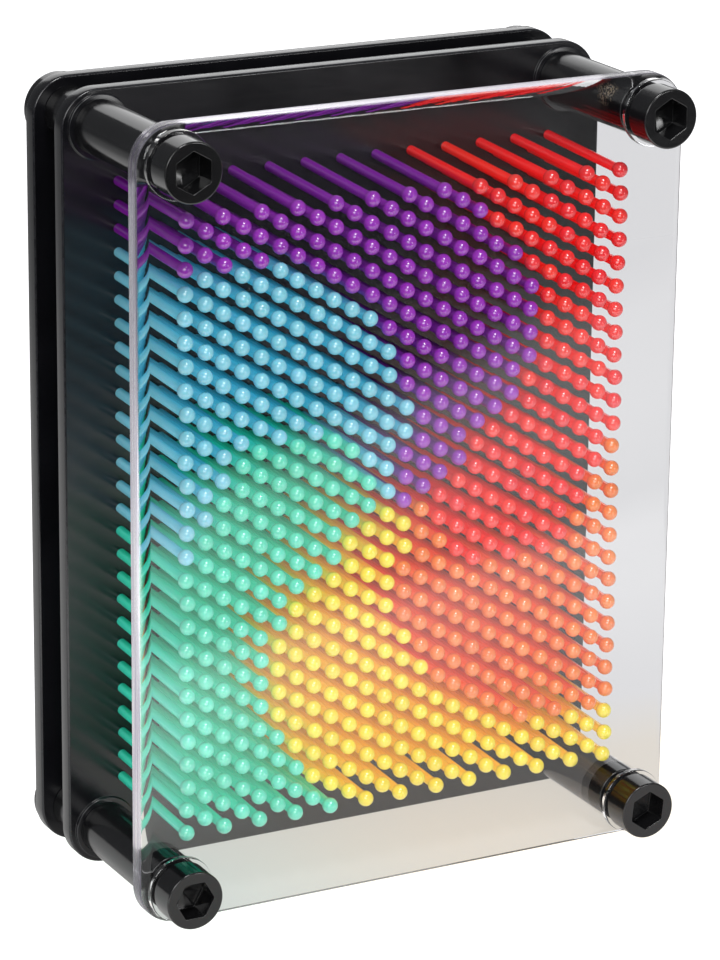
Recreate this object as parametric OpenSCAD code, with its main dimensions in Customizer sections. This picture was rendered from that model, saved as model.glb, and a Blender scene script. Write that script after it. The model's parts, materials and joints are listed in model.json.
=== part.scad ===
// Pin art impression toy that stands upright on the bottom edges of its three plates.
// Two black plates guide 663 coloured pins. Four long screws hold the plates and a
// clear front window together, with tubular standoffs and short spacers between them.
// X runs to the right seen from the front, Y to the back and Z up. The origin is under
// the middle of the toy, at the height of the plates' bottom edges.

/* [Plates] */
// Width of the window and of both pin plates
plate_w = 150; // [144:1:170]
// Height of the window and of both pin plates
plate_h = 202; // [200:1:220]
// Radius of the plates' corners
corner_r = 10; // [8:0.5:12]
// Thickness of the clear front window
window_t = 6; // [5:0.5:8]
// Thickness of each pin plate
plate_t = 4.5; // [3.5:0.5:6]
// Clear depth between the window and the front pin plate
view_gap = 38; // [30:1:45]
// Clear depth between the two pin plates
guide_gap = 12.5; // [10:0.5:18]

/* [Corner hardware] */
// Distance of the screws from the plates' side edges
screw_inset_x = 10; // [9:0.5:12]
// Distance of the screws from the plates' top and bottom edges
screw_inset_z = 9.5; // [9:0.5:12]
// Outer diameter of the standoffs and of the spacers
tube_d = 14; // [12:0.5:15]
// Diameter of the screw heads
head_d = 15; // [13:0.5:16]
// Length of the screw heads in front of their seats
head_len = 7.8; // [6:0.2:10]
// Width across the flats of the hexagon sockets
socket_af = 9; // [7:0.5:9.5]
// Depth of the hexagon sockets
socket_depth = 6.5; // [5:0.5:7]
// Diameter of the screw shanks
shank_d = 6; // [5:0.5:6.5]
// Diameter of the cap nuts behind the rear pin plate
nut_d = 18; // [16:0.5:18]
// Length of the cap nuts
nut_len = 4; // [3.5:0.5:6]

/* [Pins] */
// Distance from one pin to the next up a column
row_pitch = 6; // [5.8:0.1:6.2]
// Distance from one column of pins to the next
column_pitch = 5; // [4.9:0.1:5.2]
// Diameter of the pins' rods
rod_d = 2.5; // [2:0.1:2.8]
// Diameter of the pins' ball heads
ball_d = 4; // [3.6:0.1:4.2]
// Gap all round a rod that is centred in its guide hole
hole_gap = 0.55; // [0.45:0.05:0.6]
// Length of rod that stands out behind the rear pin plate with the pins forward
tail_len = 1.5; // [1:0.5:4]

/* [Hidden] */
$fn = 48;

// The screws pass freely through everything but the cap nuts.
shank_gap = 0.2;
bore_d = shank_d + 2 * shank_gap;
nut_gap = 0.1;
nut_floor = 1.2;
head_chamfer = 0.4;
nut_chamfer = 0.8;

// Raised round seats: clear ones on the window for the screw heads, and black ones on
// the front pin plate for the standoffs.
window_seat_d = 17;
window_seat_t = 1.2;
plate_seat_d = 16.5;
plate_seat_t = 0.8;
// Rounding of the window's front edge.
edge_round = 1.4;

// Depths of the faces from the front to the back, with the middle of the toy at 0.
depth = head_len + window_seat_t + window_t + view_gap + guide_gap + 2 * plate_t + nut_len;
window_front = head_len + window_seat_t - depth / 2;
window_back = window_front + window_t;
front_plate_y = window_back + view_gap;
rear_plate_y = front_plate_y + plate_t + guide_gap;
nut_y = rear_plate_y + plate_t;

// Corners as [name, side, level, turn of the screw's hexagon].
CORNERS = [
    ["top_left", -1, 1, 30],
    ["top_right", 1, 1, 30],
    ["bottom_left", -1, -1, 0],
    ["bottom_right", 1, -1, 24]
];

// The pins stand in a honeycomb: odd columns have one pin fewer and sit half a pitch
// lower. A pin's place is [column, row], counted from the top left corner.
pin_columns = 25;
pin_rows = 27;
head_gap = 0.3;
ball_y = window_back + head_gap + ball_d / 2;
rod_len = nut_y + tail_len - ball_y;
tip_len = 0.5;
tip_d = 1.6;
// A rod leans on the lower edge of its front hole and the upper edge of its rear hole,
// so the pins droop to the front about a point midway between the plates. A small gap
// is left at both edges.
rest_gap = 0.12;
pivot_y = front_plate_y + plate_t + guide_gap / 2;
droop = atan((hole_gap - rest_gap) / (guide_gap / 2 + plate_t));

// Outlines of the coloured patches, in pin places. The first outline that holds a pin
// gives its colour, and the pins outside all of them are orange.
PURPLE = [
    [-1, -1], [15.4, -1], [15.6, 0], [16.5, 1.2], [17.8, 2.5], [19.3, 4.5], [19.6, 7.4],
    [18.5, 9], [16.2, 10.5], [15.5, 11.5], [12.8, 13.2], [11.5, 13.2], [11.5, 11],
    [12.4, 10], [12.5, 9], [11.7, 8.2], [11.5, 7], [10.6, 4.8], [5, 2.25], [-1, 2.25]
];
GREEN = [
    [3.4, 9.75], [8.6, 9.75], [9.5, 10.4], [9.6, 11.4], [10.5, 12], [10.5, 13.1],
    [8.9, 14.2], [8.6, 15.2], [5.4, 17], [4.5, 19], [4.5, 21.5], [5.5, 22.7],
    [6.6, 24.3], [6.8, 25.2], [9, 26.1], [9, 28], [-1, 28], [-1, 14.8], [0.3, 14.3],
    [2.4, 11.1], [2.6, 10.4]
];
BLUE = [[-1, 2], [13, 2], [13, 13.2], [3, 13.2], [0.6, 14.6], [-1, 14.6]];
YELLOW = [
    [12.3, 13.25], [12.7, 14.2], [12.6, 15.1], [11.6, 15.9], [11.5, 18.1], [12.4, 19],
    [12.6, 20], [13.5, 20.6], [13.6, 21.5], [17.6, 23.4], [17.8, 23.75], [25, 23.75],
    [25, 28], [0, 28], [2, 18], [8, 13.25]
];
RED = [
    [12, -1], [25, -1], [25, 11.7], [23.5, 11.7], [23.3, 12.9], [22.5, 14.2],
    [21.5, 15.7], [20.8, 16.25], [15.2, 16.25], [14.4, 15], [13.6, 14.1], [12.8, 12.6]
];
EVERYWHERE = [[-2, -2], [26, -2], [26, 29], [-2, 29]];

// Each colour as [name, colour, outline, middles of its clusters]. A pin belongs to the
// cluster of its own colour whose middle is nearest, and a cluster slides as one piece.
COLOURS = [
    ["purple", "#9c2fc4", PURPLE,
        [[2, 1], [7.5, 1], [13.5, 1.5], [11.5, 4], [17, 4], [13.5, 7], [17, 7.5], [13.5, 11]]],
    ["green", "#2fd3a2", GREEN,
        [[4.5, 11.5], [8.5, 12], [6, 14.5], [2, 15], [2.5, 18.5], [2, 21.5], [5.5, 24.5],
         [1.5, 25]]],
    ["blue", "#58bfe0", BLUE,
        [[1.5, 4], [5.5, 4.5], [9, 6], [1.5, 7], [5, 8], [10.5, 9.5], [1, 11.5]]],
    ["yellow", "#f3d83a", YELLOW,
        [[10.5, 15.5], [7.5, 18], [11, 20.5], [6.5, 21], [9, 24], [13.5, 24], [17, 25],
         [22, 25]]],
    ["red", "#e3262f", RED,
        [[18.5, 1.5], [22.5, 1.5], [22, 5], [21.5, 8.5], [18, 11.5], [22, 11.5],
         [15.5, 14], [19.5, 14.5]]],
    ["orange", "#f58a3c", EVERYWHERE,
        [[23, 15], [13.5, 16], [18.5, 18], [15, 19.5], [22.5, 19.5], [18, 21.5], [22, 22.5]]]
];

// Whether a place is inside an outline: a line from it crosses the edges an odd number
// of times.
function crosses(p, a, b) =
    (a.y > p.y) != (b.y > p.y) && p.x < a.x + (b.x - a.x) * (p.y - a.y) / (b.y - a.y);
function inside(p, outline) =
    let (n = len(outline))
    let (hits = [for (i = [0 : n - 1]) if (crosses(p, outline[i], outline[(i + 1) % n])) i])
    len(hits) % 2 == 1;
function colour_of(p) =
    [for (k = [0 : len(COLOURS) - 1]) if (inside(p, COLOURS[k][2])) k][0];
function steps(p, q) = norm([(p.x - q.x) * column_pitch, (p.y - q.y) * row_pitch]);
function nearest(p, spots) =
    let (away = [for (s = spots) steps(p, s)])
    [for (i = [0 : len(spots) - 1]) if (away[i] == min(away)) i][0];

PLACES = [
    for (c = [0 : pin_columns - 1])
        for (r = [0 : pin_rows - 1 - c % 2])
            [c, r + c % 2 / 2]
];
// Every pin as [place, colour, cluster].
PINS = [for (p = PLACES) let (k = colour_of(p)) [p, k, nearest(p, COLOURS[k][3])]];

function pin_node(k, n) = str(COLOURS[k][0], "_pins_", n + 1);

// Places what lies in the XZ plane at one corner's screw axis.
module at_corner(corner) {
    translate([
        corner[1] * (plate_w / 2 - screw_inset_x),
        0,
        plate_h / 2 + corner[2] * (plate_h / 2 - screw_inset_z)
    ])
        children();
}

// Distance of a pin's place to the right of the middle, and its height.
function pin_x(place) = (place.x - (pin_columns - 1) / 2) * column_pitch;
function pin_z(place) = plate_h / 2 + ((pin_rows - 1) / 2 - place.y) * row_pitch;

// Round bar along Y from one depth to another, with end diameters d1 and d2.
module bar(y1, y2, d1, d2) {
    translate([0, y1, 0])
        rotate([-90, 0, 0])
            cylinder(h = y2 - y1, d1 = d1, d2 = d2);
}

// Tube along Y.
module tube(y1, y2, outer_d, inner_d) {
    difference() {
        bar(y1, y2, outer_d, outer_d);
        bar(y1 - 1, y2 + 1, inner_d, inner_d);
    }
}

// Flat plate of a given thickness whose front face is at depth y.
module slab(y, t) {
    translate([0, y + t, 0])
        rotate([90, 0, 0])
            linear_extrude(height = t)
                children();
}

// Outline of a plate, drawn in with its corners rounded.
module plate_outline(inset) {
    r = corner_r - inset;
    half_w = plate_w / 2 - corner_r;
    half_h = plate_h / 2 - corner_r;
    translate([0, plate_h / 2]) {
        square([2 * half_w, 2 * (half_h + r)], center = true);
        square([2 * (half_w + r), 2 * half_h], center = true);
        for (sx = [-1, 1], sy = [-1, 1])
            translate([sx * half_w, sy * half_h])
                circle(r);
    }
}

module screw_bores() {
    for (c = CORNERS)
        at_corner(c)
            bar(-depth, depth, bore_d, bore_d);
}

// Pin plate with a guide hole for every pin.
module pin_plate(y) {
    slab(y, plate_t)
        difference() {
            plate_outline(0);
            for (p = PLACES)
                translate([pin_x(p), pin_z(p)])
                    circle(d = rod_d + 2 * hole_gap);
        }
}

// Window with its front edge rounded all round.
module window_body() {
    half_w = plate_w / 2 - corner_r;
    half_h = plate_h / 2 - corner_r;
    ring_r = corner_r - edge_round;
    slab(window_front, window_t)
        plate_outline(edge_round);
    slab(window_front + edge_round, window_t - edge_round)
        plate_outline(0);
    translate([0, window_front + edge_round, plate_h / 2]) {
        for (side = [-1, 1]) {
            translate([side * (half_w + ring_r), 0, 0])
                cylinder(h = 2 * half_h, r = edge_round, center = true);
            translate([0, 0, side * (half_h + ring_r)])
                rotate([0, 90, 0])
                    cylinder(h = 2 * half_w, r = edge_round, center = true);
        }
        for (quarter = [0 : 3])
            rotate([0, 90 * quarter, 0])
                translate(quarter % 2 == 0 ? [half_w, 0, half_h] : [half_h, 0, half_w])
                    rotate([90, 0, 0])
                        rotate_extrude(angle = 90)
                            translate([ring_r, 0])
                                circle(edge_round);
    }
}

module front_window() {
    color("#c9d4dc", 0.35)
        difference() {
            union() {
                window_body();
                for (c = CORNERS)
                    at_corner(c)
                        bar(window_front - window_seat_t, window_front + 1,
                            window_seat_d, window_seat_d);
            }
            screw_bores();
        }
}

module front_pin_plate() {
    color("#17181a")
        difference() {
            union() {
                pin_plate(front_plate_y);
                for (c = CORNERS)
                    at_corner(c)
                        bar(front_plate_y - plate_seat_t, front_plate_y + 1,
                            plate_seat_d, plate_seat_d);
            }
            screw_bores();
        }
}

module rear_pin_plate() {
    color("#17181a")
        difference() {
            pin_plate(rear_plate_y);
            screw_bores();
        }
}

module standoff(corner) {
    color("#202124")
        at_corner(corner)
            tube(window_back, front_plate_y - plate_seat_t, tube_d, bore_d);
}

module spacer(corner) {
    color("#202124")
        at_corner(corner)
            tube(front_plate_y + plate_t, rear_plate_y, tube_d, bore_d);
}

// Screw with a long round head and a hexagon socket.
module corner_screw(socket_turn) {
    seat = window_front - window_seat_t;
    front = seat - head_len;
    difference() {
        union() {
            bar(front, front + head_chamfer, head_d - 2 * head_chamfer, head_d);
            bar(front + head_chamfer, seat, head_d, head_d);
            bar(seat, nut_y + nut_len - nut_floor, shank_d, shank_d);
        }
        translate([0, front - 1, 0])
            rotate([-90, socket_turn, 0])
                cylinder(h = socket_depth + 1, d = socket_af / cos(30), $fn = 6);
    }
}

module corner_screws() {
    color("#202124")
        for (c = CORNERS)
            at_corner(c)
                corner_screw(c[3]);
}

// Closed round nut on the end of a screw.
module cap_nut() {
    end = nut_y + nut_len;
    difference() {
        union() {
            bar(nut_y, end - nut_chamfer, nut_d, nut_d);
            bar(end - nut_chamfer, end, nut_d, nut_d - 2 * nut_chamfer);
        }
        bar(nut_y - 1, end - nut_floor, shank_d + 2 * nut_gap, shank_d + 2 * nut_gap);
    }
}

module cap_nuts() {
    color("#202124")
        for (c = CORNERS)
            at_corner(c)
                cap_nut();
}

// Pin with a ball head in front and a slightly tapered tip behind, drooping about its
// pivot.
module pin() {
    translate([0, pivot_y, 0])
        rotate([droop, 0, 0])
            translate([0, -pivot_y, 0]) {
                translate([0, ball_y, 0])
                    sphere(d = ball_d);
                bar(ball_y, ball_y + rod_len - tip_len, rod_d, rod_d);
                bar(ball_y + rod_len - tip_len, ball_y + rod_len, rod_d, tip_d);
            }
}

module pin_cluster(k, n) {
    color(COLOURS[k][1])
        for (p = PINS)
            if (p[1] == k && p[2] == n)
                translate([pin_x(p[0]), 0, pin_z(p[0])])
                    pin();
}

front_window();
front_pin_plate();
rear_pin_plate();
corner_screws();
cap_nuts();
for (c = CORNERS) {
    standoff(c);
    spacer(c);
}
for (k = [0 : len(COLOURS) - 1], n = [0 : len(COLOURS[k][3]) - 1]) {
    pin_cluster(k, n);
}
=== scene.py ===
"""Looks of a pin art impression toy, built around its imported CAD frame. Lengths are metres."""

import json
import math

import bpy
import numpy as np
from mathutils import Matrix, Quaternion, Vector
from mathutils.geometry import delaunay_2d_cdt


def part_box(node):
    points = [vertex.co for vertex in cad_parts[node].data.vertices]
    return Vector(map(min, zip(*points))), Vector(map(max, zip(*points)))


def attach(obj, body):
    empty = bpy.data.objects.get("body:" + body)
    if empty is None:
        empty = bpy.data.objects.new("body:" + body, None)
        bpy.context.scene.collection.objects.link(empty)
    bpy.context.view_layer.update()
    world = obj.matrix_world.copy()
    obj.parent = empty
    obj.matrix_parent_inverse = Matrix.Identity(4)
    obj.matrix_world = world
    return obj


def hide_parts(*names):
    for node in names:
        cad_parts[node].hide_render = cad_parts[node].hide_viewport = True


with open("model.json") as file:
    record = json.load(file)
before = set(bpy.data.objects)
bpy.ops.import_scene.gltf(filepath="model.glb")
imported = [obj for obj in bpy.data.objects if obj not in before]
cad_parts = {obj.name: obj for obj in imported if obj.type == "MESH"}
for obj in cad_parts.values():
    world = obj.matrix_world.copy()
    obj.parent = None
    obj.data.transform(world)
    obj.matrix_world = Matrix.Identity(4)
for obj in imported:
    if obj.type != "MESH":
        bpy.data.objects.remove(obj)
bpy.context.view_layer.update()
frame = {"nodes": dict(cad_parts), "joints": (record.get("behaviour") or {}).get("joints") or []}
MM = 0.001
rng = np.random.default_rng(11)

# ---------------------------------------------------------------- places from the frame
WINDOW_LOW, WINDOW_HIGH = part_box("front_window")
FRONT_LOW, FRONT_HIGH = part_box("front_pin_plate")
REAR_LOW, REAR_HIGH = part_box("rear_pin_plate")
SCREW_LOW, SCREW_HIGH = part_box("corner_screws")
NUT_LOW, NUT_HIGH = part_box("cap_nuts")
STANDOFF_LOW, STANDOFF_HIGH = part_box("top_right_standoff")
SPACER_LOW, SPACER_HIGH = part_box("top_right_spacer")
MID_Z = (WINDOW_LOW.z + WINDOW_HIGH.z) / 2
SCREW_X = (STANDOFF_LOW.x + STANDOFF_HIGH.x) / 2
SCREW_Z = (STANDOFF_LOW.z + STANDOFF_HIGH.z) / 2 - MID_Z
WINDOW_BACK = STANDOFF_LOW.y
WINDOW_SEAT = WINDOW_LOW.y
PLATE_SEAT = STANDOFF_HIGH.y

# Sizes that the boxes don't give.
CORNER_R = 10 * MM
BORE_R = 3.2 * MM
SHANK_R = 3.0 * MM
WINDOW_SEAT_R, WINDOW_SEAT_T = 8.5 * MM, 1.2 * MM
PLATE_SEAT_R, PLATE_SEAT_T = 8.25 * MM, 0.8 * MM
HEAD_R = 7.5 * MM
TUBE_R = 7.0 * MM
NUT_R = 9.0 * MM
NUT_CHAMFER = 0.8 * MM
NUT_FLOOR = 1.2 * MM
SOCKET_APOTHEM = 4.5 * MM
SOCKET_DEPTH = 6.5 * MM
SOCKET_RIM = 1.2 * MM
SOCKET_CONE = 0.8 * MM
WINDOW_ROUND, WINDOW_BACK_ROUND = 2.6 * MM, 0.35 * MM
PLATE_ROUND = 0.55 * MM
HOLE_ROUND, BORE_ROUND = 0.18 * MM, 0.3 * MM
TUBE_ROUND = 0.3 * MM
COLUMN_PITCH, ROW_PITCH = 5 * MM, 6 * MM
COLUMNS, ROWS = 25, 27
HOLE_R = 1.8 * MM
ROD_R = 1.25 * MM
BALL_R = 2.0 * MM
TIP_R, TIP_LEN = 0.8 * MM, 0.5 * MM
# Room left between faces that touch, so that neither shows through the other.
SEAM = 0.015 * MM

# name, side, level, turn of the hexagon socket in degrees
CORNERS = [
    ("top_left", -1, 1, 30),
    ("top_right", 1, 1, 30),
    ("bottom_left", -1, -1, 0),
    ("bottom_right", 1, -1, 24),
]


# ---------------------------------------------------------------- mesh helpers
def arc_profile(points, steps=4, hold=0.06 * MM):
    """Rounds the corners of a half section. points are (y, r, rounding, kind). Each result is
    (y, r, kind, edge), where edge is 1 on a rounding and 0 on a flat. A point just beside each rounding
    keeps the flats flat."""
    made = []
    last = len(points) - 1
    for i, (y, r, bend, kind) in enumerate(points):
        if bend == 0 or i in (0, last):
            made.append((y, r, kind, 0.0))
            continue
        here = np.array([y, r])
        before = np.array(points[i - 1][:2]) - here
        after = np.array(points[i + 1][:2]) - here
        before /= np.linalg.norm(before)
        after /= np.linalg.norm(after)
        half = math.acos(max(-1.0, min(1.0, float(before @ after)))) / 2
        reach = bend / math.tan(half)
        middle = here + (before + after) / np.linalg.norm(before + after) * bend / math.sin(half)
        start, end = here + before * reach, here + after * reach
        a0 = math.atan2(*(start - middle)[::-1])
        turn = math.atan2(*(end - middle)[::-1]) - a0
        turn = (turn + math.pi) % (2 * math.pi) - math.pi
        made.append((*(start + before * hold), kind, 0.0))
        for k in range(steps + 1):
            a = a0 + turn * k / steps
            spot = middle + bend * np.array([math.cos(a), math.sin(a)])
            made.append((*spot, kind, math.sin(math.pi * k / steps)))
        made.append((*(end + after * hold), kind, 0.0))
    return made


def ring_radius(kind, r, angles, turn):
    """Distance from the axis at each angle: a circle, or a hexagon of apothem r with its corners cut."""
    if kind == "round":
        return np.full(len(angles), r)
    sector = math.pi / 3
    corner_reach = 1.135
    off = (angles - turn) % sector - sector / 2
    return np.minimum(r / np.cos(off), r * corner_reach)


def lathe(profile, segments, turn=0.0, closed=False):
    """Points, faces and edge marks of a body turned about the Y axis. A radius of 0 closes it to a point."""
    angles = np.arange(segments) * 2 * math.pi / segments
    points, marks, rings = [], [], []
    for y, r, kind, edge in profile:
        if r < 1e-9:
            rings.append([len(points)] * segments)
            points.append((0.0, y, 0.0))
            marks.append(edge)
            continue
        radius = ring_radius(kind, r, angles, turn)
        rings.append(list(range(len(points), len(points) + segments)))
        points.extend(zip(radius * np.cos(angles), [y] * segments, radius * np.sin(angles)))
        marks.extend([edge] * segments)
    faces = []
    pairs = list(zip(rings, rings[1:])) + ([(rings[-1], rings[0])] if closed else [])
    for a, b in pairs:
        for i in range(segments):
            j = (i + 1) % segments
            quad = [a[i], b[i], b[j], a[j]]
            faces.append(tuple(dict.fromkeys(quad)))
    return np.array(points), faces, np.array(marks)


def make_object(name, points, faces, marks, smooth=None, attributes=None):
    """A mesh object from points and faces; marks go into the attribute "edge"."""
    mesh = bpy.data.meshes.new(name)
    mesh.from_pydata([tuple(p) for p in points], [], faces)
    flags = np.ones(len(faces), bool) if smooth is None else np.array(smooth, bool)
    mesh.polygons.foreach_set("use_smooth", flags)
    for key, values in {"edge": marks, **(attributes or {})}.items():
        layer = mesh.attributes.new(key, "FLOAT", "POINT")
        layer.data.foreach_set("value", np.asarray(values, np.float32))
    mesh.validate()
    mesh.update()
    obj = bpy.data.objects.new(name, mesh)
    bpy.context.scene.collection.objects.link(obj)
    return obj


def outline(inset, steps):
    """Rounded rectangle of the plates, drawn in by inset, as (x, z) about the middle, anticlockwise."""
    half_w = WINDOW_HIGH.x - CORNER_R
    half_h = (WINDOW_HIGH.z - WINDOW_LOW.z) / 2 - CORNER_R
    r = CORNER_R - inset
    spots = []
    for k, (sx, sz) in enumerate([(1, 1), (-1, 1), (-1, -1), (1, -1)]):
        for i in range(steps + 1):
            a = (k + i / steps) * math.pi / 2
            spots.append((sx * half_w + r * math.cos(a), sz * half_h + r * math.sin(a)))
    return spots


def make_plate(name, rim, holes, corner_steps=16):
    """A plate with rounded corners. rim is its side as (y, inset, edge) from front to back. Each hole is
    (x, z, segments, profile), its profile (y, r, edge) from the front face to the back face."""
    points, marks, faces, smooth = [], [], [], []
    front_loops, back_loops = [], []

    def add_rings(rings):
        ids = []
        for y, spots, edge in rings:
            ids.append(list(range(len(points), len(points) + len(spots))))
            points.extend((x, y, z) for x, z in spots)
            marks.extend([edge] * len(spots))
        return ids

    def join(ids, hole):
        for a, b in zip(ids, ids[1:]):
            for i in range(len(a)):
                j = (i + 1) % len(a)
                quad = (a[i], b[i], b[j], a[j])
                faces.append(quad[::-1] if hole else quad)
                smooth.append(True)
        front_loops.append(ids[0])
        back_loops.append(ids[-1])

    join(add_rings([(y, outline(inset, corner_steps), edge) for y, inset, edge in rim]), False)
    for x, z, segments, profile in holes:
        angles = [2 * math.pi * i / segments for i in range(segments)]
        rings = [
            (y, [(x + r * math.cos(a), z + r * math.sin(a)) for a in angles], edge)
            for y, r, edge in profile
        ]
        join(add_rings(rings), True)
    for loops, front in ((front_loops, True), (back_loops, False)):
        flat = [i for loop in loops for i in loop]
        spots = [Vector((points[i][0] / MM, points[i][2] / MM)) for i in flat]
        edges, at = [], 0
        for loop in loops:
            n = len(loop)
            edges.extend((at + i, at + (i + 1) % n) for i in range(n))
            at += n
        _, _, tris, origin, _, _ = delaunay_2d_cdt(spots, edges, [], 2, 1e-6)
        for tri in tris:
            a, b, c = (flat[origin[i][0]] for i in tri)
            pa, pb, pc = (points[i] for i in (a, b, c))
            area = (pb[0] - pa[0]) * (pc[2] - pa[2]) - (pc[0] - pa[0]) * (pb[2] - pa[2])
            if (area > 0) != front:
                a, b, c = a, c, b
            faces.append((a, b, c))
            smooth.append(False)
    points = np.array(points)
    points[:, 2] += MID_Z
    return make_object(name, points, faces, marks, smooth)


def mesh_points(mesh):
    co = np.zeros(len(mesh.vertices) * 3)
    mesh.vertices.foreach_get("co", co)
    return co.reshape(-1, 3)


def at_corner(points, side, level):
    return points + np.array([side * SCREW_X, 0, MID_Z + level * SCREW_Z])


def finish_piece(obj, material, body, slot, *nodes):
    """Gives a piece its material and the body it rides on, and hides the CAD nodes it stands for. Its slot
    is not used.
    """
    obj.data.materials.clear()
    obj.data.materials.append(material)
    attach(obj, body)
    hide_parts(*nodes)


# ---------------------------------------------------------------- materials
def new_material(name):
    """A material with nothing but an output and a Principled shader."""
    mat = bpy.data.materials.new(name)
    mat.use_nodes = True
    tree = mat.node_tree
    tree.nodes.clear()
    out = tree.nodes.new("ShaderNodeOutputMaterial")
    shader = tree.nodes.new("ShaderNodeBsdfPrincipled")
    tree.links.new(shader.outputs[0], out.inputs["Surface"])
    return mat, tree, shader


def attribute(tree, name):
    node = tree.nodes.new("ShaderNodeAttribute")
    node.attribute_name = name
    return node.outputs["Fac"]


def place_of(tree, stretch=(1, 1, 1)):
    """The point on the piece in metres, stretched for grain that runs one way."""
    coord = tree.nodes.new("ShaderNodeTexCoord")
    mapping = tree.nodes.new("ShaderNodeMapping")
    mapping.inputs["Scale"].default_value = stretch
    tree.links.new(coord.outputs["Object"], mapping.inputs["Vector"])
    return mapping.outputs[0]


def noise(tree, vector, scale, detail):
    node = tree.nodes.new("ShaderNodeTexNoise")
    node.inputs["Scale"].default_value = scale
    node.inputs["Detail"].default_value = detail
    node.inputs["Roughness"].default_value = 0.55
    tree.links.new(vector, node.inputs["Vector"])
    return node.outputs["Fac"]


def remap(tree, value, low, high, to_low, to_high):
    node = tree.nodes.new("ShaderNodeMapRange")
    node.clamp = True
    for key, number in zip(("From Min", "From Max", "To Min", "To Max"), (low, high, to_low, to_high)):
        node.inputs[key].default_value = number
    tree.links.new(value, node.inputs["Value"])
    return node.outputs["Result"]


def maths(tree, operation, a, b):
    node = tree.nodes.new("ShaderNodeMath")
    node.operation = operation
    for socket, value in zip(node.inputs, (a, b)):
        if isinstance(value, (int, float)):
            socket.default_value = value
        else:
            tree.links.new(value, socket)
    return node.outputs[0]


def blend(tree, factor, a, b):
    """Colour a where factor is 0 and b where it is 1. Each is a colour or an output."""
    node = tree.nodes.new("ShaderNodeMix")
    node.data_type = "RGBA"
    tree.links.new(factor, node.inputs["Factor"])
    for socket, value in ((node.inputs[6], a), (node.inputs[7], b)):
        if isinstance(value, tuple):
            socket.default_value = (*value, 1)
        else:
            tree.links.new(value, socket)
    return node.outputs[2]


def bump(tree, shader, height, strength, distance):
    node = tree.nodes.new("ShaderNodeBump")
    node.inputs["Strength"].default_value = strength
    node.inputs["Distance"].default_value = distance
    tree.links.new(height, node.inputs["Height"])
    tree.links.new(node.outputs[0], shader.inputs["Normal"])


def black_plastic(name, base, worn, dust, rough_low, rough_high, grain, residue=()):
    """Glossy black moulded plastic: uneven gloss, faint flow marks, paler edges, a few specks of dust and,
    at the places in residue, a speckled film of dried cream polish."""
    mat, tree, shader = new_material(name)
    dust_colour, film_colour = (0.45, 0.43, 0.42), (0.42, 0.33, 0.22)
    spot = place_of(tree)
    cloud = noise(tree, spot, 45, 4)
    fine = noise(tree, spot, grain, 3)
    colour = blend(tree, remap(tree, cloud, 0.35, 0.7, 0, 1), base, tuple(c * 1.7 for c in base))
    edge = maths(tree, "MULTIPLY", attribute(tree, "edge"), remap(tree, fine, 0.35, 0.65, 0.25, 0.8))
    colour = blend(tree, edge, colour, worn)
    specks = tree.nodes.new("ShaderNodeTexVoronoi")
    specks.inputs["Scale"].default_value = 160
    tree.links.new(spot, specks.inputs["Vector"])
    near = remap(tree, specks.outputs["Distance"], 0.025, 0.04, 1, 0)
    rare = noise(tree, spot, 60, 1)
    speck = maths(tree, "MULTIPLY", near, remap(tree, rare, 0.6, 0.66, 0, dust))
    colour = blend(tree, speck, colour, dust_colour)
    for middle, radius in residue:
        away = tree.nodes.new("ShaderNodeVectorMath")
        away.operation = "DISTANCE"
        tree.links.new(spot, away.inputs[0])
        away.inputs[1].default_value = middle
        patch = remap(tree, away.outputs["Value"], radius * 0.4, radius, 1, 0)
        grit = remap(tree, noise(tree, spot, 1800, 2), 0.5, 0.56, 0, 0.6)
        grit = maths(tree, "MULTIPLY", grit, patch)
        colour = blend(tree, grit, colour, film_colour)
        speck = maths(tree, "MAXIMUM", speck, grit)
    tree.links.new(colour, shader.inputs["Base Color"])
    streak = noise(tree, place_of(tree, (1, 1, 9)), 130, 2)
    gloss = maths(tree, "ADD", maths(tree, "MULTIPLY", cloud, 0.6), maths(tree, "MULTIPLY", streak, 0.4))
    rough = remap(tree, gloss, 0.32, 0.68, rough_low, rough_high)
    rough = maths(tree, "ADD", rough, maths(tree, "MULTIPLY", speck, 0.5))
    tree.links.new(rough, shader.inputs["Roughness"])
    shader.inputs["IOR"].default_value = 1.52
    bump(tree, shader, fine, 0.12, 0.03 * MM)
    return mat


def acrylic(name):
    """Polished clear acrylic with smudges. Its sawn side is slightly frosted, in fine lines, and painted
    violet-grey: painted light, the colour of the light that the pane pipes to its side.
    """
    mat, tree, shader = new_material(name)
    # The side colour is frost with painted light: its violet-grey stands in for light piped through the
    # pane.
    clear_colour, frost_and_piped_light_colour = (0.985, 0.99, 1.0), (0.31, 0.27, 0.385)
    spot = place_of(tree)
    side = attribute(tree, "side")
    saw_lines = noise(tree, place_of(tree, (0.02, 1, 0.02)), 1400, 2)
    frost = maths(tree, "MULTIPLY", side, remap(tree, saw_lines, 0.35, 0.65, 0.55, 1.0))
    colour = blend(tree, frost, clear_colour, frost_and_piped_light_colour)
    tree.links.new(colour, shader.inputs["Base Color"])
    smudge = noise(tree, spot, 28, 4)
    rough = remap(tree, smudge, 0.5, 0.75, 0.0, 0.035)
    rough = maths(tree, "ADD", rough, maths(tree, "MULTIPLY", frost, 0.32))
    tree.links.new(rough, shader.inputs["Roughness"])
    clear = maths(tree, "SUBTRACT", 1.0, maths(tree, "MULTIPLY", frost, 0.3))
    tree.links.new(clear, shader.inputs["Transmission Weight"])
    shader.inputs["IOR"].default_value = 1.49
    bump(tree, shader, maths(tree, "MULTIPLY", saw_lines, side), 0.25, 0.03 * MM)
    return mat


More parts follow.
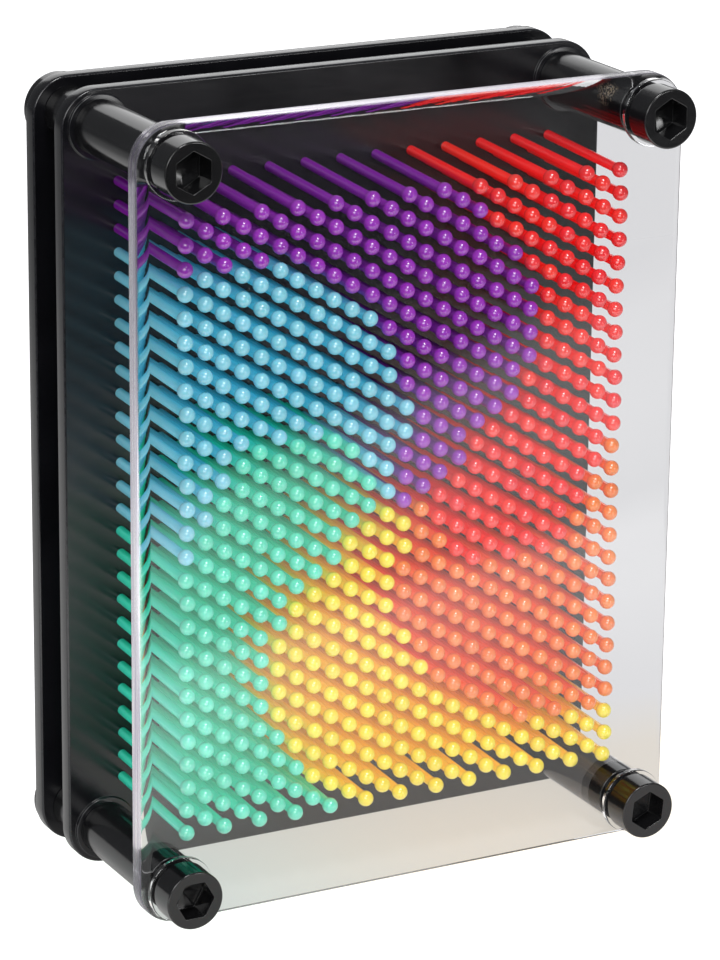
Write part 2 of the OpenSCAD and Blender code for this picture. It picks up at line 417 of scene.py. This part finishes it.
def pin_plastic(name, head, rod, deep, glow):
    """Glossy translucent plastic of the pins, with a little difference between pins. Heads and rods are one
    plastic: the rods' richer and, for purple, darker colour is painted shade and inter-reflected light,
    which takes over from the head's colour down the rod.
    An attribute sets a painted glow: emission in the deep colour, standing in for the light that enters a
    ball and runs down inside its rod, fading on the way."""
    mat, tree, shader = new_material(name)
    spot = place_of(tree)
    flow = noise(tree, place_of(tree, (1, 0.2, 1)), 420, 3)
    tone = attribute(tree, "tone")
    # The head's colour fades into the rod colour down the rod: painted shade and inter-reflected light,
    # deeper among the pins.
    colour = blend(tree, attribute(tree, "head"), rod, head)
    hsv = tree.nodes.new("ShaderNodeHueSaturation")
    tree.links.new(colour, hsv.inputs["Color"])
    tree.links.new(remap(tree, tone, 0, 1, 0.497, 0.503), hsv.inputs["Hue"])
    shade = maths(tree, "ADD", maths(tree, "MULTIPLY", tone, 0.1), maths(tree, "MULTIPLY", flow, 0.14))
    tree.links.new(maths(tree, "ADD", shade, 0.87), hsv.inputs["Value"])
    tree.links.new(hsv.outputs[0], shader.inputs["Base Color"])
    # Painted glow: the rods emit the deep colour where the ball's light would reach them.
    shader.inputs["Emission Color"].default_value = (*deep, 1)
    tree.links.new(attribute(tree, "painted_glow"), shader.inputs["Emission Strength"])
    mat.cycles.emission_sampling = "NONE"
    tree.links.new(remap(tree, flow, 0.3, 0.7, 0.16, 0.26), shader.inputs["Roughness"])
    shader.inputs["IOR"].default_value = 1.5
    shader.inputs["Specular IOR Level"].default_value = 1.0
    shader.inputs["Subsurface Weight"].default_value = 0.5
    shader.inputs["Subsurface Radius"].default_value = glow
    shader.inputs["Subsurface Scale"].default_value = 2 * MM
    bump(tree, shader, noise(tree, spot, 1500, 2), 0.1, 0.02 * MM)
    return mat


# Middle and radius of each film of dried polish, on the upper tubes beside the window.
RESIDUE = [
    (Vector((SCREW_X - 0.6 * TUBE_R, WINDOW_BACK + 8 * MM, MID_Z + SCREW_Z + 0.5 * TUBE_R)), 5 * MM),
    (Vector((TUBE_R - SCREW_X, WINDOW_BACK + 5 * MM, MID_Z + SCREW_Z)), 4 * MM),
]
PLATE_BLACK = black_plastic(
    "black_plate",
    base=(0.004, 0.004, 0.005),
    worn=(0.03, 0.03, 0.034),
    dust=0.6,
    rough_low=0.14,
    rough_high=0.24,
    grain=900,
)
HARDWARE_BLACK = black_plastic(
    "black_hardware",
    base=(0.005, 0.005, 0.0055),
    worn=(0.035, 0.035, 0.035),
    dust=0.35,
    rough_low=0.09,
    rough_high=0.2,
    grain=1200,
    residue=RESIDUE,
)
CLEAR = acrylic("clear_acrylic")
# name: colour of the heads; of the rods, the same plastic painted richer and darker there as shade; of the
# painted glow (emission) that stands in for the light inside them; and reach of the subsurface glow per
# channel
PIN_COLOURS = {
    "purple": ((0.32, 0.032, 0.46), (0.19, 0.004, 0.30), (0.08, 0.0, 0.14), (0.6, 0.2, 1.0)),
    "green": ((0.12, 0.70, 0.51), (0.03, 0.70, 0.49), (0.0, 0.74, 0.54), (0.3, 1.0, 0.7)),
    "blue": ((0.25, 0.62, 0.73), (0.25, 0.63, 0.76), (0.0, 0.50, 0.70), (0.3, 0.8, 1.0)),
    "yellow": ((0.88, 0.73, 0.042), (0.95, 0.62, 0.02), (1.0, 0.48, 0.0), (1.0, 0.7, 0.1)),
    "red": ((0.86, 0.032, 0.031), (0.91, 0.010, 0.009), (0.95, 0.0, 0.0), (1.0, 0.15, 0.1)),
    "orange": ((0.84, 0.22, 0.032), (0.90, 0.16, 0.025), (1.0, 0.12, 0.01), (1.0, 0.3, 0.1)),
}
PIN_MATERIALS = {name: pin_plastic(f"{name}_pin", *facts) for name, facts in PIN_COLOURS.items()}


# ---------------------------------------------------------------- plates and window
def corner_holes(profile, segments):
    return [(side * SCREW_X, level * SCREW_Z, segments, profile) for _, side, level, _ in CORNERS]


def quarter(y, r, bend, from_flat, steps=3):
    """Rounding between a flat at depth y and a wall at radius or inset r, as (depth, radius, edge)."""
    made = []
    for k in range(steps + 1):
        a = math.pi / 2 * k / steps
        deep, out = bend * (1 - math.cos(a)), bend * (1 - math.sin(a))
        made.append((deep, out, math.sin(2 * a)))
    return [(y + d * from_flat, r + o, e) for d, o, e in made]


def wall(front, back, r, bend, steps=2):
    """Hole or rim profile through a plate, rounded by bend at both faces."""
    return quarter(front, r, bend, 1, steps) + quarter(back, r, bend, -1, steps)[::-1]


def pin_places():
    """Each pin's (column, row) with half rows on odd columns, for every place of the honeycomb."""
    return [(c, r + c % 2 / 2) for c in range(COLUMNS) for r in range(ROWS - c % 2)]


def place_xz(column, row):
    return (column - (COLUMNS - 1) / 2) * COLUMN_PITCH, ((ROWS - 1) / 2 - row) * ROW_PITCH


def pin_plate(name, front, back, seat):
    """A black plate with its guide holes and, where seat is true, a raised ring round each bolt bore."""
    holes = [(*place_xz(c, r), 20, wall(front, back, HOLE_R, HOLE_ROUND)) for c, r in pin_places()]
    bore = quarter(back, BORE_R, BORE_ROUND, -1, 2)[::-1]
    if seat:
        top = front - PLATE_SEAT_T
        fillet, top_round = 0.15 * MM, 0.25 * MM
        rise = [(front, PLATE_SEAT_R + fillet, 0), (front - fillet, PLATE_SEAT_R, 0.4)]
        ledge = [(y, PLATE_SEAT_R - o, e) for y, o, e in quarter(top, 0, top_round, 1, 3)[::-1]]
        bore = rise + ledge + quarter(top, BORE_R, BORE_ROUND, 1, 2) + bore
    else:
        bore = quarter(front, BORE_R, BORE_ROUND, 1, 2) + bore
    rim = wall(front, back, 0, PLATE_ROUND, 4)
    plate = make_plate(name, rim, holes + corner_holes(bore, 64))
    finish_piece(plate, PLATE_BLACK, "frame", "black_plate", name.replace("moulded_", ""))


pin_plate("moulded_front_pin_plate", FRONT_LOW.y + PLATE_SEAT_T, FRONT_HIGH.y, True)
pin_plate("moulded_rear_pin_plate", REAR_LOW.y, REAR_HIGH.y, False)


def boolean(obj, other, operation):
    """Adds or cuts another object, which is then removed."""
    change = obj.modifiers.new(operation, "BOOLEAN")
    change.operation = operation
    change.solver = "EXACT"
    change.object = other
    graph = bpy.context.evaluated_depsgraph_get()
    made = bpy.data.meshes.new_from_object(obj.evaluated_get(graph))
    obj.modifiers.clear()
    obj.data = made
    bpy.data.objects.remove(other)


def at_all_corners(name, profile, segments):
    """One helper object with the same turned body at each corner."""
    points, faces, marks = lathe(profile, segments)
    spots = [at_corner(points, side, level) for _, side, level, _ in CORNERS]
    ids = [tuple(i + k * len(points) for i in f) for k in range(len(CORNERS)) for f in faces]
    return make_object(name, np.concatenate(spots), ids, np.tile(marks, len(CORNERS)))


def outline_distance(points):
    """How far each point lies inside the plates' outline."""
    half_w = WINDOW_HIGH.x - CORNER_R
    half_h = (WINDOW_HIGH.z - WINDOW_LOW.z) / 2 - CORNER_R
    out_x = np.abs(points[:, 0]) - half_w
    out_z = np.abs(points[:, 2] - MID_Z) - half_h
    beyond = np.hypot(np.maximum(out_x, 0), np.maximum(out_z, 0))
    return CORNER_R - beyond - np.minimum(np.maximum(out_x, out_z), 0)


def window():
    """The clear pane with its raised seats. Only camera and transmission rays see it, so that the light
    which reaches the pins through it stays clean. The attribute "side" marks its sawn side."""
    front = WINDOW_SEAT + WINDOW_SEAT_T
    rim = quarter(front, 0, WINDOW_ROUND, 1, 20) + quarter(WINDOW_BACK, 0, WINDOW_BACK_ROUND, -1, 3)[::-1]
    pane = make_plate("clear_front_window", rim, [], corner_steps=24)
    seat = arc_profile(
        [
            (WINDOW_SEAT, 0, 0, "round"),
            (WINDOW_SEAT, WINDOW_SEAT_R, 0.3 * MM, "round"),
            (front + 2 * MM, WINDOW_SEAT_R, 0, "round"),
            (front + 2 * MM, 0, 0, "round"),
        ]
    )
    boolean(pane, at_all_corners("window_seats", seat, 96), "UNION")
    start, end = WINDOW_SEAT - MM, WINDOW_BACK + MM
    bore = [(y, r, "round", 0) for y, r in ((start, 0), (start, BORE_R), (end, BORE_R), (end, 0))]
    boolean(pane, at_all_corners("window_bores", bore, 64), "DIFFERENCE")
    mesh = pane.data
    mesh.set_sharp_from_angle(angle=math.radians(32))
    flat = 0.99999
    for face in mesh.polygons:
        face.use_smooth = abs(face.normal.y) < flat
    co = mesh_points(mesh)
    side_reach, side_start = 0.3 * MM, front + WINDOW_ROUND * 0.55
    on_side = (outline_distance(co) < side_reach) & (co[:, 1] > side_start)
    layer = mesh.attributes.new("side", "FLOAT", "POINT")
    layer.data.foreach_set("value", on_side.astype(np.float32))
    finish_piece(pane, CLEAR, "frame", "clear_acrylic", "front_window")
    pane.visible_shadow = pane.visible_diffuse = pane.visible_glossy = False


window()


# ---------------------------------------------------------------- corner hardware
def turned(name, profile, segments, corner, turn=0.0, closed=False):
    _, side, level, _ = corner
    points, faces, marks = lathe(profile, segments, turn, closed)
    return make_object(name, at_corner(points, side, level), faces, marks)


def screw(corner):
    """A round-headed screw with a hexagon socket and its long plain shank."""
    front, seat = SCREW_LOW.y, WINDOW_SEAT - SEAM
    floor = front + SOCKET_DEPTH
    socket_step, socket_round = 0.1 * MM, 0.1 * MM
    outer = arc_profile(
        [
            (front, SOCKET_APOTHEM + SOCKET_RIM, 0, "round"),
            (front, HEAD_R, 0.4 * MM, "round"),
            (seat, HEAD_R, 0.25 * MM, "round"),
            (seat, SHANK_R, 0.1 * MM, "round"),
            (SCREW_HIGH.y, SHANK_R, 0.3 * MM, "round"),
            (SCREW_HIGH.y, 0, 0, "round"),
        ]
    )
    socket = arc_profile(
        [
            (floor + SOCKET_CONE, 0, 0, "hex"),
            (floor, SOCKET_APOTHEM * 0.86, socket_round, "hex"),
            (floor - socket_step, SOCKET_APOTHEM, socket_round, "hex"),
            (front, SOCKET_APOTHEM, 0.16 * MM, "hex"),
            (front, SOCKET_APOTHEM + SOCKET_RIM, 0, "round"),
        ],
        hold=0.03 * MM,
    )[:-1]
    name = f"{corner[0]}_screw"
    made = turned(name, socket + outer, 144, corner, math.radians(corner[3]))
    finish_piece(made, HARDWARE_BLACK, "frame", "black_hardware", "corner_screws")


def tube(name, front, back, corner, node):
    """A standoff or spacer tube between two faces, with a hair's room at each end."""
    loop = [
        (front + SEAM, TUBE_R, TUBE_ROUND, "round"),
        (back - SEAM, TUBE_R, TUBE_ROUND, "round"),
        (back - SEAM, BORE_R, TUBE_ROUND, "round"),
        (front + SEAM, BORE_R, TUBE_ROUND, "round"),
    ]
    profile = arc_profile([loop[-1], *loop, loop[0]])[1:-1]
    made = turned(name, profile, 96, corner, closed=True)
    finish_piece(made, HARDWARE_BLACK, "frame", "black_hardware", node)


def cap_nut(corner):
    """A round cap nut with a chamfered end, which closes the bolt behind the rear plate."""
    front, back = NUT_LOW.y + SEAM, NUT_HIGH.y
    bore_r, end_round = SHANK_R + 0.1 * MM, 0.5 * MM
    profile = arc_profile(
        [
            (back - NUT_FLOOR, 0, 0, "round"),
            (back - NUT_FLOOR, bore_r, 0, "round"),
            (front, bore_r, 0, "round"),
            (front, NUT_R, 0.2 * MM, "round"),
            (back - NUT_CHAMFER, NUT_R, end_round, "round"),
            (back, NUT_R - NUT_CHAMFER, end_round, "round"),
            (back, 0, 0, "round"),
        ]
    )
    made = turned(f"{corner[0]}_cap_nut", profile, 96, corner)
    finish_piece(made, HARDWARE_BLACK, "frame", "black_hardware", "cap_nuts")


for corner in CORNERS:
    screw(corner)
    cap_nut(corner)
    tube(f"turned_{corner[0]}_standoff", WINDOW_BACK, PLATE_SEAT, corner, f"{corner[0]}_standoff")
    tube(f"turned_{corner[0]}_spacer", SPACER_LOW.y, SPACER_HIGH.y, corner, f"{corner[0]}_spacer")


# ---------------------------------------------------------------- pins
PIN_SEGMENTS = 20
BALL_STEPS = 11
NECK = 0.35 * MM
# Strength of the painted glow (emission) that stands in for the light a ball hands on to its rod, and the
# length over which it fades.
PAINTED_GLOW_SHARE, PAINTED_GLOW_LENGTH = 0.23, 24 * MM
# How far a pin's ends may stray from the axis it slides along: to the sides, and up or down.
STRAY_X, STRAY_Z = 0.28 * MM, 0.07 * MM
SLIDE = Vector(next(j["axis"] for j in frame["joints"])).normalized()
PIVOT_Y = (FRONT_LOW.y + PLATE_SEAT_T + REAR_HIGH.y) / 2


def pin_shape(ball_middle, rod_end):
    """One pin about the Y axis: points, faces, how much of the head's colour each point has, less down the
    rod as painted shade, and how strongly each point glows with painted light in place of the light from the
    ball."""
    meet = math.asin((ROD_R + NECK * 0.4) / BALL_R)
    profile = [(ball_middle - BALL_R, 0.0, "round", 1.0)]
    for k in range(1, BALL_STEPS + 1):
        a = (math.pi - meet) * k / BALL_STEPS
        profile.append((ball_middle - BALL_R * math.cos(a), BALL_R * math.sin(a), "round", 1.0))
    last = profile[-1][0]
    # Last number: share of the head's colour, falling down the rod into the rod colour as painted shade.
    profile += [
        (last + NECK * 0.35, ROD_R + NECK * 0.15, "round", 0.9),
        (last + NECK, ROD_R, "round", 0.75),
        (last + 3 * MM, ROD_R, "round", 0.55),
        (last + 10 * MM, ROD_R, "round", 0.4),
        (last + 24 * MM, ROD_R, "round", 0.3),
        (last + 38 * MM, ROD_R, "round", 0.2),
        (rod_end - TIP_LEN - 0.1 * MM, ROD_R, "round", 0.0),
        (rod_end - TIP_LEN, ROD_R - 0.02 * MM, "round", 0.0),
        (rod_end - 0.12 * MM, TIP_R + 0.08 * MM, "round", 0.0),
        (rod_end - 0.02 * MM, TIP_R - 0.06 * MM, "round", 0.0),
        (rod_end, TIP_R - 0.25 * MM, "round", 0.0),
        (rod_end, 0.0, "round", 0.0),
    ]
    points, faces, head = lathe(profile, PIN_SEGMENTS)
    # Painted glow: emission strength from just behind the ball, fading down the rod.
    behind = np.maximum(points[:, 1] - last, 0)
    painted_glow = np.where(points[:, 1] > last - 0.3 * MM, PAINTED_GLOW_SHARE * np.exp(-behind / PAINTED_GLOW_LENGTH), 0)
    return points, faces, head, painted_glow


def cluster_places(node):
    """The honeycomb places of a CAD node's pins, from its own points, with the pins' droop taken out."""
    co = mesh_points(frame["nodes"][node].data)
    level = co[:, 2] - (co[:, 1] - PIVOT_Y) * SLIDE.z / SLIDE.y
    column = np.rint(co[:, 0] / COLUMN_PITCH + (COLUMNS - 1) / 2)
    half = column % 2 / 2
    row = np.rint((ROWS - 1) / 2 - (level - MID_Z) / ROW_PITCH - half) + half
    return sorted(set(zip(column.tolist(), row.tolist())))


def pin_piece(node):
    """All the pins of a CAD node as one piece, each a little out of line and with a tone of its own."""
    low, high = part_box(node)
    middle = (low.y + BALL_R - PIVOT_Y) / SLIDE.y
    points, faces, head, painted_glow = pin_shape(middle, (high.y - PIVOT_Y - TIP_R * SLIDE.z) / SLIDE.y)
    along = points[:, 1]
    ahead = along / middle
    all_points, all_faces, heads, tones = [], [], [], []
    for column, row in cluster_places(node):
        x, z = place_xz(column, row)
        side, rise, tone = rng.random(3) * 2 - 1
        moved = np.empty_like(points)
        moved[:, 0] = x + points[:, 0] + side * STRAY_X * ahead
        moved[:, 1] = PIVOT_Y + along * SLIDE.y - points[:, 2] * SLIDE.z
        moved[:, 2] = MID_Z + z + along * SLIDE.z + points[:, 2] * SLIDE.y + rise * STRAY_Z * ahead
        at = len(all_points) * len(points)
        all_points.append(moved)
        all_faces.extend(tuple(i + at for i in f) for f in faces)
        heads.append(head)
        tones.append(np.full(len(points), tone / 2 + 0.5))
    marks = np.zeros(len(points) * len(all_points))
    attributes = {
        "head": np.concatenate(heads),
        "tone": np.concatenate(tones),
        "painted_glow": np.tile(painted_glow, len(all_points)),
    }
    obj = make_object(f"moulded_{node}", np.concatenate(all_points), all_faces, marks, None, attributes)
    colour = node.split("_")[0]
    finish_piece(obj, PIN_MATERIALS[colour], node.replace("_pins_", "_cluster_"), f"{colour}_pin", node)


for node in sorted(n for n in frame["nodes"] if "_pins_" in n):
    pin_piece(node)


# ---------------------------------------------------------------- floor, light and camera
def stage_floor():
    """Pale floor. Seen straight on it is white paper. Through the window it glows a shade darker, and under
    the toy the glow takes on a little of the pins' colours as painted light. In gloss and for diffuse rays
    the paper glows as well, painted light that is brightest just ahead of the toy and ends in the dark
    further out."""
    size, drop = 6.0, 0.02 * MM
    corners = [(-size, -size, -drop), (size, -size, -drop), (size, size, -drop), (-size, size, -drop)]
    floor = make_object("floor", corners, [(0, 1, 2, 3)], [0, 0, 0, 0])
    mat, tree, shader = new_material("floor_paper")
    mat.cycles.emission_sampling = "NONE"
    split = tree.nodes.new("ShaderNodeSeparateXYZ")
    tree.links.new(place_of(tree), split.inputs[0])
    across, ahead = split.outputs["X"], split.outputs["Y"]
    slant, dark_end, paper_end = 0.61, -0.305, -0.262
    edge = maths(tree, "ADD", ahead, maths(tree, "MULTIPLY", across, slant))
    paper = remap(tree, edge, dark_end, paper_end, 0, 1)
    colour = blend(tree, paper, (0.02, 0.02, 0.02), (0.78, 0.78, 0.78))
    tree.links.new(colour, shader.inputs["Base Color"])
    shader.inputs["Roughness"].default_value = 0.7
    shader.inputs["Specular IOR Level"].default_value = 0.15
    shader.inputs["Emission Color"].default_value = (1, 0.985, 0.96, 1)
    seen = tree.nodes.new("ShaderNodeLightPath")
    direct, through = seen.outputs["Is Camera Ray"], seen.outputs["Is Transmission Ray"]
    length = tree.nodes.new("ShaderNodeVectorMath")
    length.operation = "LENGTH"
    tree.links.new(place_of(tree), length.inputs[0])
    # Painted light: the paper glows for diffuse and gloss rays, lighting the toy from below and showing in
    # the window's reflection.
    near = remap(tree, length.outputs["Value"], 0.4, 0.7, 1, 0)
    strength = remap(tree, edge, -0.2, -0.11, 1.45, 0.35)
    bright = maths(tree, "MULTIPLY", maths(tree, "MULTIPLY", paper, near), strength)
    lit = maths(tree, "MULTIPLY", bright, maths(tree, "SUBTRACT", 1.0, through))
    tree.links.new(lit, shader.inputs["Emission Strength"])
    glow = tree.nodes.new("ShaderNodeEmission")
    tree.links.new(maths(tree, "ADD", maths(tree, "MULTIPLY", direct, 0.65), 0.77), glow.inputs["Strength"])
    # Painted light: under the toy the glow seen through the window is tinted with the pins' colours, green
    # to the left and yellow to the right.
    painted_green_bounce, painted_yellow_bounce, away_from_toy = (0.90, 0.95, 0.90), (1.0, 0.93, 0.82), (0.99, 0.985, 1.0)
    under = blend(tree, remap(tree, across, -0.06, 0.02, 0, 1), painted_green_bounce, painted_yellow_bounce)
    tint = blend(tree, remap(tree, ahead, 0.025, 0.06, 0, 1), under, away_from_toy)
    tree.links.new(tint, glow.inputs["Color"])
    far = remap(tree, ahead, 0.0, 0.5, 0.8, 1.0)
    part = maths(tree, "ADD", maths(tree, "MULTIPLY", direct, 0.93), maths(tree, "MULTIPLY", through, far))
    mix = tree.nodes.new("ShaderNodeMixShader")
    tree.links.new(part, mix.inputs[0])
    tree.links.new(shader.outputs[0], mix.inputs[1])
    tree.links.new(glow.outputs[0], mix.inputs[2])
    out = next(n for n in tree.nodes if n.type == "OUTPUT_MATERIAL")
    tree.links.new(mix.outputs[0], out.inputs["Surface"])
    floor.data.materials.append(mat)


def softbox(name, place, target, width, height, watts):
    lamp = bpy.data.lights.new(name, "AREA")
    lamp.shape = "RECTANGLE"
    lamp.size, lamp.size_y = width, height
    lamp.energy = watts
    obj = bpy.data.objects.new(name, lamp)
    obj.location = place
    obj.rotation_euler = (Vector(target) - Vector(place)).to_track_quat("-Z", "Y").to_euler()
    obj.visible_camera = False
    bpy.context.scene.collection.objects.link(obj)


def studio():
    """A white backdrop that gives only a little light, and four softboxes."""
    world = bpy.data.worlds.new("studio")
    bpy.context.scene.world = world
    world.use_nodes = True
    tree = world.node_tree
    back = tree.nodes["Background"]
    back.inputs["Color"].default_value = (0.93, 0.95, 1.0, 1)
    seen = tree.nodes.new("ShaderNodeLightPath")
    direct, through = seen.outputs["Is Camera Ray"], seen.outputs["Is Transmission Ray"]
    fill, extra_white = 0.16, 0.9
    white = maths(tree, "MULTIPLY", maths(tree, "MAXIMUM", direct, through), extra_white)
    tree.links.new(maths(tree, "ADD", white, fill), back.inputs["Strength"])
    middle = (0, 0, MID_Z)
    softbox("key_softbox", (-0.12, -0.68, 1.25), middle, 0.36, 0.36, 9)
    softbox("front_softbox", (-1.0, -1.55, 0.85), middle, 1.1, 0.9, 16.8)
    softbox("glint_softbox", (0.88, -1.8, 0.25), middle, 0.28, 0.45, 4)
    softbox("back_softbox", (0.55, 1.5, 0.75), middle, 1.3, 0.9, 5)


def camera():
    """Camera at the toy's front left and above, level but for a small roll."""
    azimuth, elevation, roll = math.radians(-28.13), math.radians(17.82), math.radians(0.61)
    distance = 1.055
    aim = Vector((-0.0012, -0.003, 0.0984))
    level = math.cos(elevation)
    back = Vector((math.sin(azimuth) * level, -math.cos(azimuth) * level, math.sin(elevation)))
    data = bpy.data.cameras.new("camera")
    data.sensor_width = 36
    data.lens = 156.6
    data.clip_start, data.clip_end = 0.01, 50
    data.dof.use_dof = False
    obj = bpy.data.objects.new("camera", data)
    obj.location = aim + back * distance
    turn = (-back).to_track_quat("-Z", "Y")
    obj.rotation_mode = "QUATERNION"
    obj.rotation_quaternion = turn @ Quaternion((0, 0, 1), roll)
    bpy.context.scene.collection.objects.link(obj)
    bpy.context.scene.camera = obj


stage_floor()
studio()
camera()
bpy.context.scene.view_settings.view_transform = "Standard"
